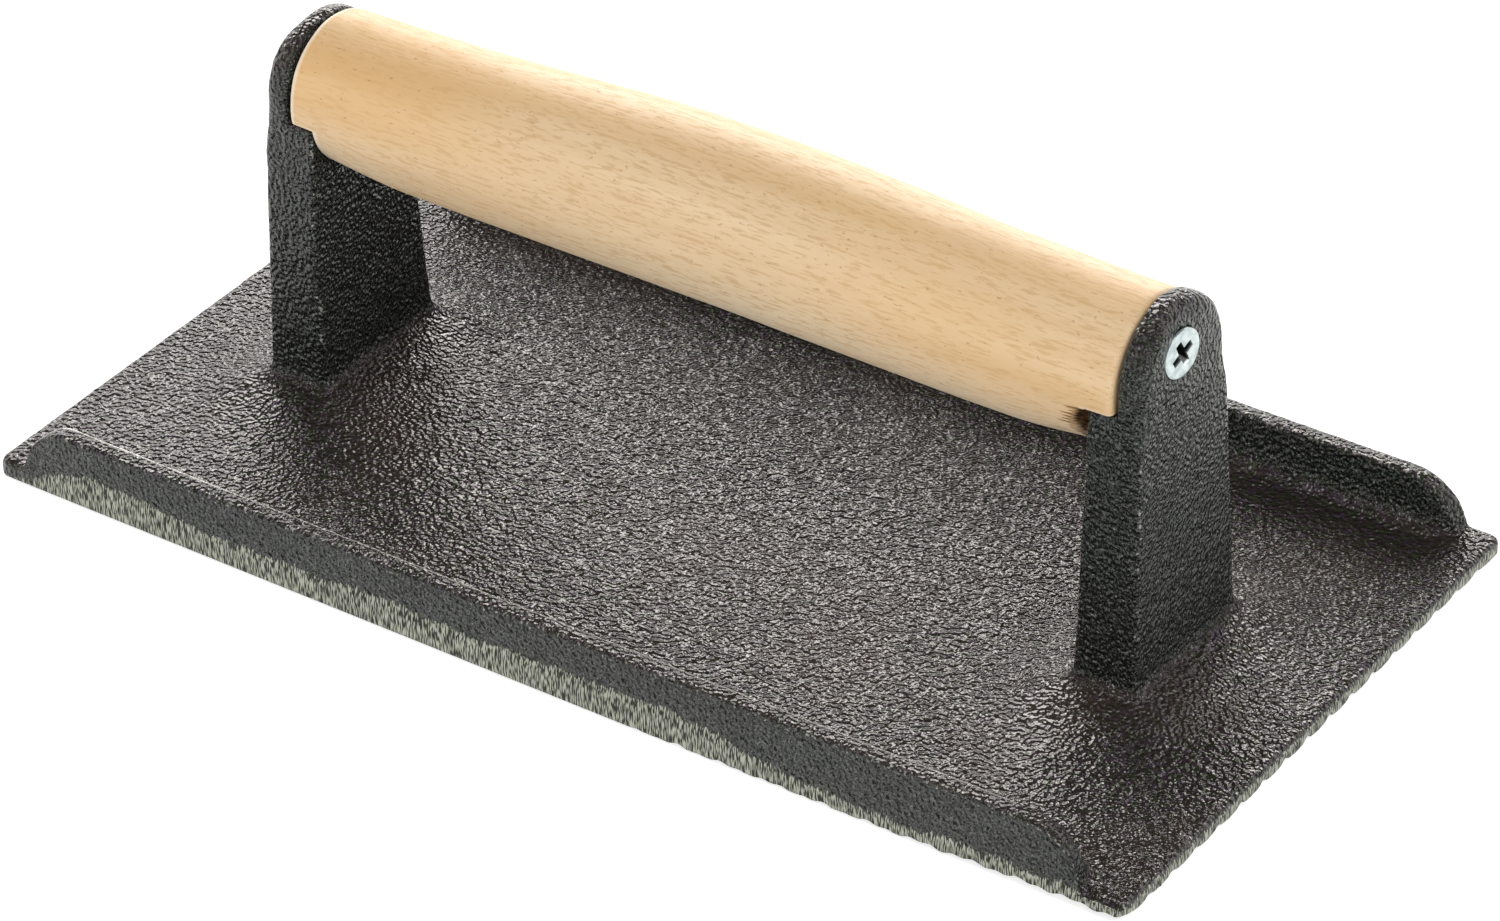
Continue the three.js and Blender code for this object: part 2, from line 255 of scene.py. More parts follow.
def rounded_ring(x0, x1, half_width, radius0, radius1, z, steps=7):
    """A level ring round a rectangle with rounded corners: radius0 at x0 and radius1 at x1."""
    ring = []
    for cx, cy, radius, start in (
        (x1 - radius1, half_width - radius1, radius1, 0.0),
        (x0 + radius0, half_width - radius0, radius0, 0.5),
        (x0 + radius0, radius0 - half_width, radius0, 1.0),
        (x1 - radius1, radius1 - half_width, radius1, 1.5),
    ):
        for i in range(steps + 1):
            angle = (start + 0.5 * i / steps) * math.pi
            ring.append((cx + radius * math.cos(angle), cy + radius * math.sin(angle), z))
    return np.array(ring)


def with_modifier(target, kind, **settings):
    """Applies one modifier to an object's mesh."""
    modifier = target.modifiers.new(kind.lower(), kind)
    for key, value in settings.items():
        setattr(modifier, key, value)
    evaluated = target.evaluated_get(bpy.context.evaluated_depsgraph_get())
    mesh = bpy.data.meshes.new_from_object(evaluated)
    target.modifiers.clear()
    old = target.data
    target.data = mesh
    mesh.name = target.name
    bpy.data.meshes.remove(old)
    return target


def as_driven(target, side):
    """Moves a body made on the X axis, as for the right end, to where a side's screw was driven."""
    askew = (
        Matrix.Translation((SCREW_FACE * MM, 0, 0))
        @ Matrix.Rotation(math.radians(SCREW_TURN[side]), 4, "Z")
        @ Matrix.Translation((-SCREW_FACE * MM, 0, 0))
    )
    turn = Matrix.Rotation(0 if side > 0 else math.pi, 4, "Z")
    target.data.transform(Matrix.Translation((0, SCREW_Y[side] * MM, SCREW_HEIGHT * MM)) @ turn @ askew)
    return target


def cut(target, cutter):
    """Takes cutter's shape away from target."""
    with_modifier(target, "BOOLEAN", operation="DIFFERENCE", solver="MANIFOLD", object=cutter)
    bpy.data.objects.remove(cutter)
    return target


def joined(name, parts):
    """One object from several that overlap."""
    points = []
    faces = []
    for part in parts:
        start = len(points)
        points += [np.array(v.co) / MM for v in part.data.vertices]
        faces += [[start + i for i in polygon.vertices] for polygon in part.data.polygons]
        bpy.data.objects.remove(part)
    return new_object(name, np.array(points), faces)


def read_points(target):
    points = np.empty(len(target.data.vertices) * 3)
    target.data.vertices.foreach_get("co", points)
    return points.reshape(-1, 3) / MM


def read_normals(target):
    normals = np.empty(len(target.data.vertices) * 3)
    target.data.vertex_normals.foreach_get("vector", normals)
    return normals.reshape(-1, 3)


def write_points(target, points):
    target.data.vertices.foreach_set("co", (points * MM).ravel())
    target.data.update()


def set_attribute(target, name, values):
    """A number at every point, which the material reads by name."""
    attribute = target.data.attributes.new(name, "FLOAT", "POINT")
    attribute.data.foreach_set("value", np.asarray(values, np.float32))


def relaxed(target, points, passes):
    """Points moved half way to their neighbours' mean, pass by pass."""
    edges = np.empty(len(target.data.edges) * 2, np.int64)
    target.data.edges.foreach_get("vertices", edges)
    a, b = edges.reshape(-1, 2).T
    count = np.bincount(np.concatenate([a, b]), minlength=len(points))[:, None]
    for _ in range(passes):
        total = np.stack(
            [
                np.bincount(a, points[b, axis], len(points)) + np.bincount(b, points[a, axis], len(points))
                for axis in range(3)
            ],
            axis=1,
        )
        points = points + 0.5 * (total / count - points)
    return points


def shade_smooth(target, crease=180):
    """Smooth shading, apart from edges that bend by more than crease degrees."""
    target.data.polygons.foreach_set("use_smooth", np.ones(len(target.data.polygons), bool))
    target.data.set_sharp_from_angle(angle=math.radians(crease))


def hand_over(target, node, material, crease=180):
    """Gives a finished piece its material and its body, and hides the CAD node it stands for."""
    target.data.materials.clear()
    target.data.materials.append(material)
    shade_smooth(target, crease)
    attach(target, BODY)
    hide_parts(node)


# ---------------------------------------------------------------- materials


class Nodes:
    """A short way to write the node tree of a material or the world."""

    def __init__(self, owner, shader="Principled BSDF"):
        owner.use_nodes = True
        self.owner = owner
        self.tree = owner.node_tree
        self.shader = self.tree.nodes[shader]

    def add(self, kind, inputs=None, **settings):
        node = self.tree.nodes.new(kind)
        for key, value in settings.items():
            setattr(node, key, value)
        for key, value in (inputs or {}).items():
            self.feed(node.inputs[key], value)
        return node

    def feed(self, socket, value):
        if isinstance(value, bpy.types.NodeSocket):
            self.tree.links.new(value, socket)
        else:
            socket.default_value = value

    def millimetres(self):
        """The surface's own coordinates, in millimetres."""
        place = self.add("ShaderNodeTexCoord").outputs["Object"]
        scale = self.add("ShaderNodeVectorMath", {0: place, 1: (1000, 1000, 1000)}, operation="MULTIPLY")
        return scale.outputs[0]

    def stretched(self, place, factors):
        return self.add("ShaderNodeVectorMath", {0: place, 1: factors}, operation="MULTIPLY").outputs[0]

    def noise(self, place, wavelength, detail=2.0, roughness=0.5, distortion=0.0):
        node = self.add(
            "ShaderNodeTexNoise",
            {
                "Vector": place,
                "Scale": 1 / wavelength,
                "Detail": detail,
                "Roughness": roughness,
                "Distortion": distortion,
            },
        )
        return node.outputs["Fac"]

    def maths(self, operation, a, b=0.0):
        return self.add("ShaderNodeMath", {0: a, 1: b}, operation=operation).outputs[0]

    def around_zero(self, noise, spread):
        """Noise moved to lie around zero and made wider."""
        return self.maths("MULTIPLY", self.maths("SUBTRACT", noise, 0.5), spread)

    def ramp(self, value, low, high, out_low=0.0, out_high=1.0):
        """value from low to high, eased, as out_low to out_high."""
        node = self.add(
            "ShaderNodeMapRange",
            {"Value": value, "From Min": low, "From Max": high, "To Min": out_low, "To Max": out_high},
            interpolation_type="SMOOTHSTEP",
        )
        return node.outputs["Result"]

    def mixed(self, share, a, b):
        """Two colours mixed by a share."""
        node = self.add("ShaderNodeMix", data_type="RGBA")
        self.feed(node.inputs["Factor"], share)
        for name, value in (("A", a), ("B", b)):
            socket = next(s for s in node.inputs if s.name == name and s.type == "RGBA")
            self.feed(socket, value if isinstance(value, bpy.types.NodeSocket) else (*value, 1.0))
        return next(s for s in node.outputs if s.type == "RGBA")

    def attribute(self, name):
        return self.add("ShaderNodeAttribute", attribute_name=name).outputs["Fac"]

    def bump(self, height):
        """A bump whose height is in millimetres."""
        inputs = {"Height": height, "Distance": MM, "Strength": 1.0}
        return self.add("ShaderNodeBump", inputs).outputs["Normal"]

    def finish(self, **sockets):
        for key, value in sockets.items():
            self.feed(self.shader.inputs[key.replace("_", " ")], value)
        return self.owner


def cast_iron_material():
    """Oiled sand-cast iron, ground bare where the attribute says so."""
    nodes = Nodes(bpy.data.materials.new("cast_iron"))
    place = nodes.millimetres()

    # The skin: bumps under a millimetre apart, with grit on them.
    skin = nodes.noise(place, SKIN_WIDTH, detail=0.0)
    grit_and_glints = nodes.noise(place, GRIT_AND_GLINT_WIDTH, detail=0.0)
    bumps = nodes.maths("MULTIPLY", skin, SKIN_HEIGHT)
    skin_height = nodes.maths("ADD", bumps, nodes.maths("MULTIPLY", grit_and_glints, GRIT_HEIGHT))

    # Bare ground iron: fine marks that run up and down, and a ragged, pitted border.
    streak_place = nodes.stretched(place, (1.0, 1.0, 0.12))
    streaks = nodes.noise(streak_place, 0.22, detail=1.0)
    ragged = nodes.around_zero(nodes.noise(streak_place, 0.4, detail=3.0), 2.6)
    pits = nodes.around_zero(nodes.noise(place, 0.7, detail=2.0), 1.4)
    level = nodes.maths("ADD", nodes.attribute("ground"), nodes.maths("ADD", ragged, pits))
    bare = nodes.ramp(level, -0.12, 0.15)

    # The skin's colour: dark, with purple, green and rusty tints; the upright faces get painted shade, a
    # darker base, with pale specks that are painted glints.
    tint = nodes.noise(place, 1.5, detail=2.0, roughness=0.6)
    blotch = nodes.noise(place, 26.0, detail=2.0)
    facing = nodes.add("ShaderNodeSeparateXYZ", {0: nodes.add("ShaderNodeTexCoord").outputs["Normal"]})
    upright = nodes.ramp(nodes.maths("ABSOLUTE", facing.outputs["Z"]), 0.75, 0.25)
    purple = nodes.mixed(nodes.ramp(tint, 0.50, 0.64), (0.014, 0.012, 0.010), (0.032, 0.021, 0.033))
    green = nodes.mixed(nodes.ramp(tint, 0.50, 0.36), purple, (0.017, 0.024, 0.011))
    rusty = nodes.mixed(nodes.ramp(blotch, 0.42, 0.62, 0.1, 0.6), green, (0.036, 0.024, 0.020))
    # Upright faces: painted shade, darker than the top, with pale specks as painted glints.
    upright_shade_and_glints = nodes.mixed(nodes.ramp(grit_and_glints, 0.54, 0.68), (0.005, 0.009, 0.007), (0.095, 0.105, 0.090))
    skin_colour = nodes.mixed(nodes.maths("MULTIPLY", upright, 0.75), rusty, upright_shade_and_glints)

    # Wear and painted highlight, speckled: worn grey on the corners, and near white, a painted highlight,
    # where it is strongest, as on the near lip's crest.
    speckle = nodes.around_zero(nodes.noise(place, 0.6, detail=1.0), 0.45)
    wear_and_highlight_level = nodes.maths("ADD", nodes.attribute("wear_and_highlight"), speckle)
    skin_colour = nodes.mixed(nodes.ramp(wear_and_highlight_level, 0.13, 0.20), skin_colour, (0.30, 0.29, 0.27))
    skin_colour = nodes.mixed(nodes.ramp(wear_and_highlight_level, 0.30, 0.42), skin_colour, (0.72, 0.70, 0.66))

    oxide = nodes.mixed(nodes.ramp(streaks, 0.42, 0.60), (0.04, 0.043, 0.034), (0.38, 0.39, 0.325))
    colour = nodes.mixed(bare, skin_colour, oxide)

    gloss = nodes.ramp(nodes.noise(place, 1.9, detail=2.0), 0.3, 0.7, 0.09, 0.18)
    rough_bare = nodes.ramp(streaks, 0.3, 0.7, 0.62, 0.42)
    roughness = nodes.add("ShaderNodeMix", data_type="FLOAT")
    nodes.feed(roughness.inputs[0], bare)
    nodes.feed(roughness.inputs[2], gloss)
    nodes.feed(roughness.inputs[3], rough_bare)

    keep_skin = nodes.maths("SUBTRACT", 1.0, bare)
    height = nodes.maths(
        "ADD",
        nodes.maths("MULTIPLY", skin_height, keep_skin),
        nodes.maths("MULTIPLY", nodes.maths("MULTIPLY", streaks, STREAK_HEIGHT), bare),
    )
    return nodes.finish(
        Base_Color=colour,
        Roughness=roughness.outputs[0],
        Metallic=nodes.maths("MULTIPLY", bare, 0.9),
        IOR=1.4,
        Normal=nodes.bump(height),
    )


def wood_material():
    """Pale sanded hardwood with fine grain along X and small dark flecks."""
    nodes = Nodes(bpy.data.materials.new("maple"))
    place = nodes.millimetres()
    spot = nodes.add("ShaderNodeSeparateXYZ", {0: place})

    # The grain: broad figure, fine dark fibres, warmer clouds towards the upper left, and flecks.
    fibres = nodes.noise(nodes.stretched(place, (0.14, 1.0, 1.0)), 0.45, detail=2.0, roughness=0.6)
    figure = nodes.noise(nodes.stretched(place, (0.05, 1.0, 1.0)), 5.0, detail=3.0, distortion=0.4)
    cloud = nodes.noise(nodes.stretched(place, (0.3, 1.0, 1.0)), 22.0, detail=1.0)
    pale = nodes.mixed(nodes.ramp(figure, 0.3, 0.7), (0.68, 0.475, 0.265), (0.76, 0.57, 0.355))
    # The lower part is painted paler: painted light, as from a low light in front.
    lower = nodes.mixed(nodes.ramp(spot.outputs["Z"], 55.0, 44.0, 0.0, 0.8), pale, (0.81, 0.70, 0.53))
    grained = nodes.mixed(nodes.ramp(fibres, 0.50, 0.36, 0.0, 0.55), lower, (0.54, 0.33, 0.15))
    leftward = nodes.ramp(spot.outputs["X"], 0.0, -60.0, 0.0, 0.3)
    leftward = nodes.maths("MULTIPLY", leftward, nodes.ramp(spot.outputs["Z"], 46.0, 58.0))
    warmth = nodes.maths("ADD", nodes.ramp(cloud, 0.42, 0.66, 0.0, 0.35), leftward)
    warm = nodes.mixed(warmth, grained, (0.72, 0.43, 0.17))
    flecks = nodes.noise(nodes.stretched(place, (0.4, 1.0, 1.0)), 0.5, detail=1.0)
    flecked = nodes.mixed(nodes.ramp(flecks, 0.69, 0.77, 0.0, 0.6), warm, (0.44, 0.22, 0.08))

    # The edges of the end and of the notch are painted paler, a painted highlight along their rounded edges,
    # most of all on the left.
    from_middle = nodes.maths("ABSOLUTE", spot.outputs["X"])
    end_highlight = nodes.ramp(from_middle, GRIP_END - 1.3, GRIP_END - 0.7)
    end_highlight = nodes.maths("MULTIPLY", end_highlight, nodes.ramp(spot.outputs["X"], 1.0, -1.0, 0.05, 0.6))
    notch_highlight = nodes.maths(
        "MULTIPLY",
        nodes.ramp(from_middle, NOTCH_WALL - 1.1, NOTCH_WALL - 0.5, 0.0, 0.5),
        nodes.ramp(spot.outputs["Z"], LEDGE + 0.8, LEDGE),
    )
    highlighted_rims = nodes.mixed(nodes.maths("MAXIMUM", end_highlight, notch_highlight), flecked, (0.92, 0.83, 0.70))

    # The inside of the chip is coloured dark brown, with paler brown streaks for the splinters.
    splinters = nodes.ramp(nodes.noise(nodes.stretched(place, (0.3, 1.0, 1.0)), 0.6), 0.42, 0.62)
    chip_colour = nodes.mixed(splinters, (0.05, 0.022, 0.007), (0.24, 0.125, 0.045))
    colour = nodes.mixed(nodes.ramp(nodes.attribute("torn"), 0.05, 0.8), highlighted_rims, chip_colour)
    return nodes.finish(
        Base_Color=colour,
        Roughness=nodes.ramp(fibres, 0.3, 0.7, 0.62, 0.48),
        IOR=1.45,
        Normal=nodes.bump(nodes.maths("MULTIPLY", fibres, 0.035)),
    )


def zinc_material():
    """Bright zinc plating, with painted shade in the recess."""
    nodes = Nodes(bpy.data.materials.new("zinc_steel"))
    place = nodes.millimetres()
    cloud = nodes.noise(place, 1.4, detail=3.0)
    plated = nodes.mixed(nodes.ramp(cloud, 0.35, 0.68), (0.42, 0.49, 0.49), (0.60, 0.67, 0.66))
    colour = nodes.mixed(nodes.attribute("recess_shade"), plated, (0.03, 0.03, 0.028))
    return nodes.finish(
        Base_Color=colour,
        Metallic=0.85,
        Roughness=nodes.ramp(cloud, 0.3, 0.7, 0.42, 0.28),
        Normal=nodes.bump(nodes.maths("MULTIPLY", nodes.noise(place, 0.5), 0.03)),
    )


def floor_material():
    nodes = Nodes(bpy.data.materials.new("floor"))
    return nodes.finish(
        Base_Color=(0.6, 0.6, 0.595, 1.0),
        Roughness=0.9,
        Emission_Color=(1, 1, 1, 1),
        Emission_Strength=0.75,
    )


# ---------------------------------------------------------------- the casting


def distance_to_post(x, y):
    """Level distance from the nearer post's foot, in millimetres."""
    beyond_x = np.maximum(np.maximum(POST_INNER - np.abs(x), np.abs(x) - POST_OUTER), 0)
    beyond_y = np.maximum(np.abs(y) - POST_HALF_WIDTH, 0)
    return np.hypot(beyond_x, beyond_y)


def plate_top(x, y):
    """Height of the plate's upper face, with the low mound round each post."""
    mound = MOUND_HEIGHT * np.exp(-((distance_to_post(x, y) / MOUND_REACH) ** 2) * 2)
    return PLATE_TOP + mound


def plate_underside(y):
    """Height of the ribbed underside: flat lands whose shoulders round into the grooves."""
    half_span = RIB_PITCH * (GROOVE_COUNT - 1) / 2
    rib = (y + half_span) / RIB_PITCH
    phase = (rib - np.round(rib)) * 2  # 0 on a groove's centre, -1 and 1 on the lands beside it
    shoulder = np.where(phase > 0, FAR_SHOULDER, NEAR_SHOULDER)
    depth = GROOVE_DEPTH * (1 - np.abs(phase)) ** shoulder
    return np.where(np.abs(y) < half_span + RIB_PITCH / 2, depth, 0)


def plate():
    """The plate as sections across Y, stepped along X."""
    bottom_y = np.arange(-HALF_WIDTH, HALF_WIDTH + 0.01, 0.25)
    top_y = np.arange(HALF_WIDTH, -HALF_WIDTH - 0.01, -1.0)
    rings = []
    close_steps = np.array([0, 0.15, 0.4, 0.8, 1.3, 1.9, 2.6, 3.3])  # for the rounding of the ends
    even_steps = np.arange(-HALF_LENGTH + 4, HALF_LENGTH - 3.9, 1.0)
    for x in np.concatenate([close_steps - HALF_LENGTH, even_steps, HALF_LENGTH - close_steps[::-1]]):
        from_end = HALF_LENGTH - abs(x)
        into_corner = max(PLATE_CORNER - from_end, 0)
        narrowing = PLATE_CORNER - math.sqrt(PLATE_CORNER**2 - into_corner**2)
        narrow = (HALF_WIDTH - narrowing) / HALF_WIDTH
        into_round = max(1 - from_end / END_ROUND_REACH, 0)
        end_drop = END_ROUND_HEIGHT * (1 - math.sqrt(1 - into_round**2))
        into_side = np.clip(1 - (HALF_WIDTH - np.abs(top_y)) / SIDE_ROUND_REACH, 0, 1)
        side_drop = SIDE_ROUND_HEIGHT * (1 - np.sqrt(1 - into_side**2))
        lower = np.stack([np.full_like(bottom_y, x), bottom_y * narrow, plate_underside(bottom_y)], axis=1)
        top_z = plate_top(np.full_like(top_y, x), top_y) - np.maximum(end_drop, side_drop)
        upper = np.stack([np.full_like(top_y, x), top_y * narrow, top_z], axis=1)
        rings.append(np.concatenate([lower, upper]))
    return loft("plate", rings)


# Distance in from the plate's edge, and height, of a lip's outline from its outer foot over the crest.
LIP_OUTLINE = [
    (-0.05, LIP_FOOT),
    (0.5, 9.6),
    (0.62, 10.5),
    (0.9, 11.05),
    (1.4, 11.38),
    (3.4, LIP_TOP),
    (3.8, 11.45),
    (4.0, 11.2),
    (4.1, 10.6),
    (4.25, 9.5),
    (4.7, 6.2),
    (5.1, 5.0),
    (5.8, 3.95),
    (6.8, 3.3),
    (LIP_FOOT_WIDTH, 2.85),
    (LIP_FOOT_WIDTH, LIP_FOOT),
]


def lip(side, ends):
    """A raised lip along one long edge, whose ends fall to the plate in a quarter ellipse."""
    outline = np.array(LIP_OUTLINE)
    root = PLATE_TOP - LIP_ROOT_DEPTH
    rings = []
    steps = 12
    for i in range(2 * steps + 2):
        at_high_end = i > steps
        angle = (i - steps - 1 if at_high_end else steps - i) / steps * math.pi / 2
        fullness = math.cos(angle)
        along = LIP_RUN * math.sin(angle)
        x = ends[1] - LIP_RUN + along if at_high_end else ends[0] + LIP_RUN - along
        z = np.where(outline[:, 1] > root, root + (outline[:, 1] - root) * fullness, outline[:, 1])
        # The end leans: its inner side stops short of its outer side.
        lean = (1 - outline[:, 0] / LIP_FOOT_WIDTH) * LIP_END_LEAN * math.sin(angle)
        shift = lean if at_high_end else -lean
        rings.append(np.stack([x + shift, side * (HALF_WIDTH - outline[:, 0]), z], axis=1))
    return loft("lip", rings)


def screw_hole(side):
    """The shape of the countersunk hole through a flange, past both of its faces."""
    wide = HEAD_RADIUS + HEAD_GAP
    narrow = THREAD_RADIUS + CLEARANCE
    rim = SCREW_FACE - HEAD_LAND
    start, end = FLANGE_INNER - 3, SCREW_FACE + 4
    cone_start = rim - (wide - narrow)
    profile = [(start, 0), (start, narrow), (cone_start, narrow), (rim, wide), (end, wide), (end, 0)]
    return as_driven(revolve("hole", profile, 48), side)


def post(side):
    """A tapered post with a ledge for the grip and a thinner flange with a round top."""
    rings = []

    def add(inner, outer, half_width, inner_radius, outer_radius, z):
        """One ring, between the post's inner and outer faces at the height z."""
        inner_radius = min(inner_radius, half_width * 0.9)
        outer_radius = min(outer_radius, half_width * 0.9)
        if side > 0:
            rings.append(rounded_ring(inner, outer, half_width, inner_radius, outer_radius, z))
        else:
            rings.append(rounded_ring(-outer, -inner, half_width, outer_radius, inner_radius, z))

    def outer_at(z):
        return POST_OUTER - POST_OUTER_DRAFT * (z - PLATE_TOP)

    def inner_at(z):
        return POST_INNER + POST_INNER_DRAFT * (z - PLATE_TOP)

    def half_width_at(z):
        return POST_HALF_WIDTH - POST_SIDE_DRAFT * (z - PLATE_TOP)

    foot = PLATE_TOP + MOUND_HEIGHT
    heights = [POST_ROOT] + [foot + POST_FILLET * (1 - math.cos(i / 8 * math.pi / 2)) for i in range(9)]
    heights += list(np.linspace(foot + POST_FILLET, LEDGE, 24)[1:])
    for z in heights:
        rise = min(max(z - foot, 0) / POST_FILLET, 1)
        spread = POST_FILLET * (1 - math.sqrt(1 - (1 - rise) ** 2))
        corner = POST_CORNER + spread
        outer_corner = corner + (ARCH_CORNER - POST_CORNER) * float(smoothstep(LEDGE - 6, LEDGE, z))
        add(inner_at(z) - spread, outer_at(z) + spread, half_width_at(z) + spread, corner, outer_corner, z)
    add(FLANGE_INNER, outer_at(LEDGE), half_width_at(LEDGE), FLANGE_EDGE, ARCH_CORNER, LEDGE)
    centre = ARCH_CENTRE[side]
    for angle in np.linspace(0, math.pi / 2, 25)[:-1]:
        z = centre + ARCH_RADIUS * math.sin(angle)
        near_top = float(smoothstep(0.5, 1.0, math.sin(angle)))
        top_round = ARCH_CORNER * (1 - math.sqrt(1 - near_top**2 * 0.99))
        add(FLANGE_INNER, outer_at(z) - top_round, ARCH_RADIUS * math.cos(angle), FLANGE_EDGE, ARCH_CORNER, z)
    top = centre + ARCH_RADIUS
    add(FLANGE_INNER, outer_at(top) - ARCH_CORNER, ARCH_TOP_HALF_WIDTH, FLANGE_EDGE, FLANGE_EDGE, top)
    return cut(loft("post", rings), screw_hole(side))


def near_band_height(x):
    """How high the ground strip reaches on the near side, in millimetres."""
    rise = smoothstep(-104, -88, x)
    level = SIDE_BAND - SIDE_BAND_DIP * smoothstep(30, 60, x) + SIDE_BAND_RISE * smoothstep(66, 95, x)
    long_waves = 0.7 * np.sin(x / 11.0) * np.sin(x / 29.0 + 0.6)
    short_waves = 0.35 * np.sin(x / 2.3) * np.sin(x / 5.1)
    return rise * (level + (long_waves + short_waves))


def side_band_height(x, y):
    """The same on either long side. The far one is the near one turned round."""
    return np.where(y < 0, near_band_height(x), near_band_height(-x))


def worn_underside(x, y):
    """Height that grinding leaves the underside's near edge at: it rises towards the right corner."""
    ripple = (1 + np.sin(x / 0.83) * np.sin(x / 2.1 + 1)) * smoothstep(5, 30, x)
    rise = CORNER_GRIND * smoothstep(58, 97, x) + GRIND_RIPPLE * ripple
    return rise * smoothstep(HALF_WIDTH - 7, HALF_WIDTH, -y)


def roughened(points, normals):
    """The casting's points with its uneven surface, and with the grinding of the sides and the underside."""
    x, y, z = points.T
    lumps = LUMP_HEIGHT * fractal_noise(points, LUMP_WIDTH, octaves=2, seed=11)
    pebbles = PEBBLE_HEIGHT * fractal_noise(points, PEBBLE_WIDTH, octaves=2, seed=23)
    in_hole = smoothstep(HEAD_RADIUS + 0.6, HEAD_RADIUS - 0.2, np.hypot(y, z - SCREW_HEIGHT))
    under = smoothstep(0.2, -0.6, normals[:, 2]) * smoothstep(3.0, 1.5, z)
    smoother = (1 - in_hole) * (1 - 0.85 * under)
    rough = points + normals * ((lumps + pebbles) * smoother)[:, None]

    # The long sides lean in above the strips where grinding has cut them flat.
    lean = SIDE_DRAFT * (z - side_band_height(x, y))
    faces_out = smoothstep(0.5, 0.9, np.abs(normals[:, 1]))
    on_side = faces_out * smoothstep(HALF_WIDTH - 1, HALF_WIDTH - 0.6, np.abs(y))
    rough[:, 1] -= np.sign(y) * lean * on_side
    rough[:, 1] = np.clip(rough[:, 1], -HALF_WIDTH, HALF_WIDTH)
    rough[:, 0] = np.clip(rough[:, 0], -HALF_LENGTH, HALF_LENGTH)
    rough[:, 2] = np.maximum(rough[:, 2], worn_underside(x, y))
    return rough


def ground_strips(points, normals):
    """How far below the strips' upper border each point of the plate's edges lies, in millimetres."""
    x, y, z = points.T
    level = np.full(len(points), -6.0)  # far above any border
    for across, half_size, outward, border in (
        (-y, HALF_WIDTH, -normals[:, 1], near_band_height(x)),
        (y, HALF_WIDTH, normals[:, 1], near_band_height(-x)),
        (np.abs(x), HALF_LENGTH, np.abs(normals[:, 0]), END_BAND),
    ):
        on_edge = smoothstep(0.5, 0.9, outward) * smoothstep(half_size - 3, half_size - 2, across)
        level = np.where(on_edge > 0.5, border - z, level)
    return level


def wear_and_highlight_on(body, plain, rough, normals):
    """How worn each point is and how much highlight is painted on it: wear and painted highlight on the outer
    corners, painted highlight lines on the near lip's crest. plain is before roughening.
    """
    x, y, z = plain.T

    # A corner is worn, and painted with highlight, as far as it stands out of its smoothed surroundings.
    sticking_out = np.sum((rough - relaxed(body, rough, WEAR_AND_HIGHLIGHT_PASSES)) * normals, axis=1)
    on_arch = smoothstep(LEDGE - 3, LEDGE + 1, z)
    on_post = (distance_to_post(x, y) < 1) & (z > POST_WEAR_AND_HIGHLIGHT_START)
    corners_worn_and_lit = np.minimum(sticking_out * np.where(on_post, 1.25, 1), MOST_WEAR_AND_HIGHLIGHT) * (1 - on_arch)

    # The near lip's crest: a painted highlight line on its inner edge, brightest at the left, and a faint
    # painted highlight on its outer edge.
    on_inner_edge = smoothstep(0.65, 0.25, np.abs(y + HALF_WIDTH - CREST_INSET)) * smoothstep(10.6, 11.0, z)
    along_line = (x > CREST_HIGHLIGHT[0]) & (x < CREST_HIGHLIGHT[1])
    inner_highlight = on_inner_edge * (0.3 + 0.26 * smoothstep(-50, -70, x)) * along_line
    on_outer_edge = smoothstep(2.6, 1.6, y + HALF_WIDTH) * smoothstep(9.8, 10.6, z)
    outer_highlight = 0.09 * on_outer_edge * (np.abs(x) < 92)
    return np.maximum(np.maximum(corners_worn_and_lit, outer_highlight), inner_highlight)


def casting():
    """The whole casting, as one skin."""
    parts = [plate(), lip(-1, NEAR_LIP_ENDS), lip(1, FAR_LIP_ENDS), post(-1), post(1)]
    body = joined("casting", parts)
    with_modifier(body, "REMESH", mode="VOXEL", voxel_size=VOXEL * MM)
    plain = relaxed(body, read_points(body), SMOOTHING_PASSES)
    write_points(body, plain)
    normals = read_normals(body)
    rough = roughened(plain, normals)
    write_points(body, rough)
    set_attribute(body, "ground", ground_strips(plain, normals))
    set_attribute(body, "wear_and_highlight", wear_and_highlight_on(body, plain, rough, normals))
    hand_over(body, "cast_body", cast_iron_material())


# ---------------------------------------------------------------- the grip


def grip_top(x):
    reach = min(abs(x) / GRIP_CROWN_HALF_LENGTH, 1)
    return GRIP_TOP - GRIP_CROWN + GRIP_CROWN * math.cos(reach * math.pi / 2) ** 2


def grip_bottom(x):
    lift = GRIP_END_LIFT * float(smoothstep(GRIP_LIFT_START, FLANGE_INNER, abs(x)))
    return GRIP_BOTTOM + lift - GRIP_SAG * float(smoothstep(0, GRIP_SAG_LENGTH, x))


# A chip torn out of the front of the grip's right end, under its notch.
CHIP_TOP = LEDGE + 0.1
CHIP_BOTTOM = 42.2
CHIP_DEPTH = 1.7
CHIP_REACH = 2.9  # along the grip from the notch's wall
CHIP_MARGIN = 2  # how far the cutter runs past that wall
SPLINTERS = 14
SHORTEST_SPLINTER = 0.9
LONGEST_SPLINTER = 2.4


def notch(side):
    """The block that cuts the notch for a post's ledge, past the grip's end, sides and bottom."""
    low, high = sorted((side * NOTCH_WALL, side * (GRIP_END + 5)))
    top = LEDGE + CLEARANCE
    bottom = GRIP_BOTTOM - 5
    points = [(x, y, z) for x in (low, high) for y in (-20, 20) for z in (bottom, top)]
    faces = [[0, 1, 3, 2], [4, 6, 7, 5], [0, 4, 5, 1], [2, 3, 7, 6], [0, 2, 6, 4], [1, 5, 7, 3]]
    return new_object("notch", points, faces)


def pilot_hole(side):
    """The shape of the hole for a screw's shank, from past the grip's end to just past the screw's tip."""
    radius = THREAD_RADIUS + CLEARANCE
    start, end = SCREW_TIP - 1, GRIP_END + 2
    full_width = SCREW_TIP + SCREW_TIP_LENGTH
    profile = [(start, 0), (start, radius * 0.4), (full_width, radius), (end, radius), (end, 0)]
    return as_driven(revolve("pilot", profile, 40), side)


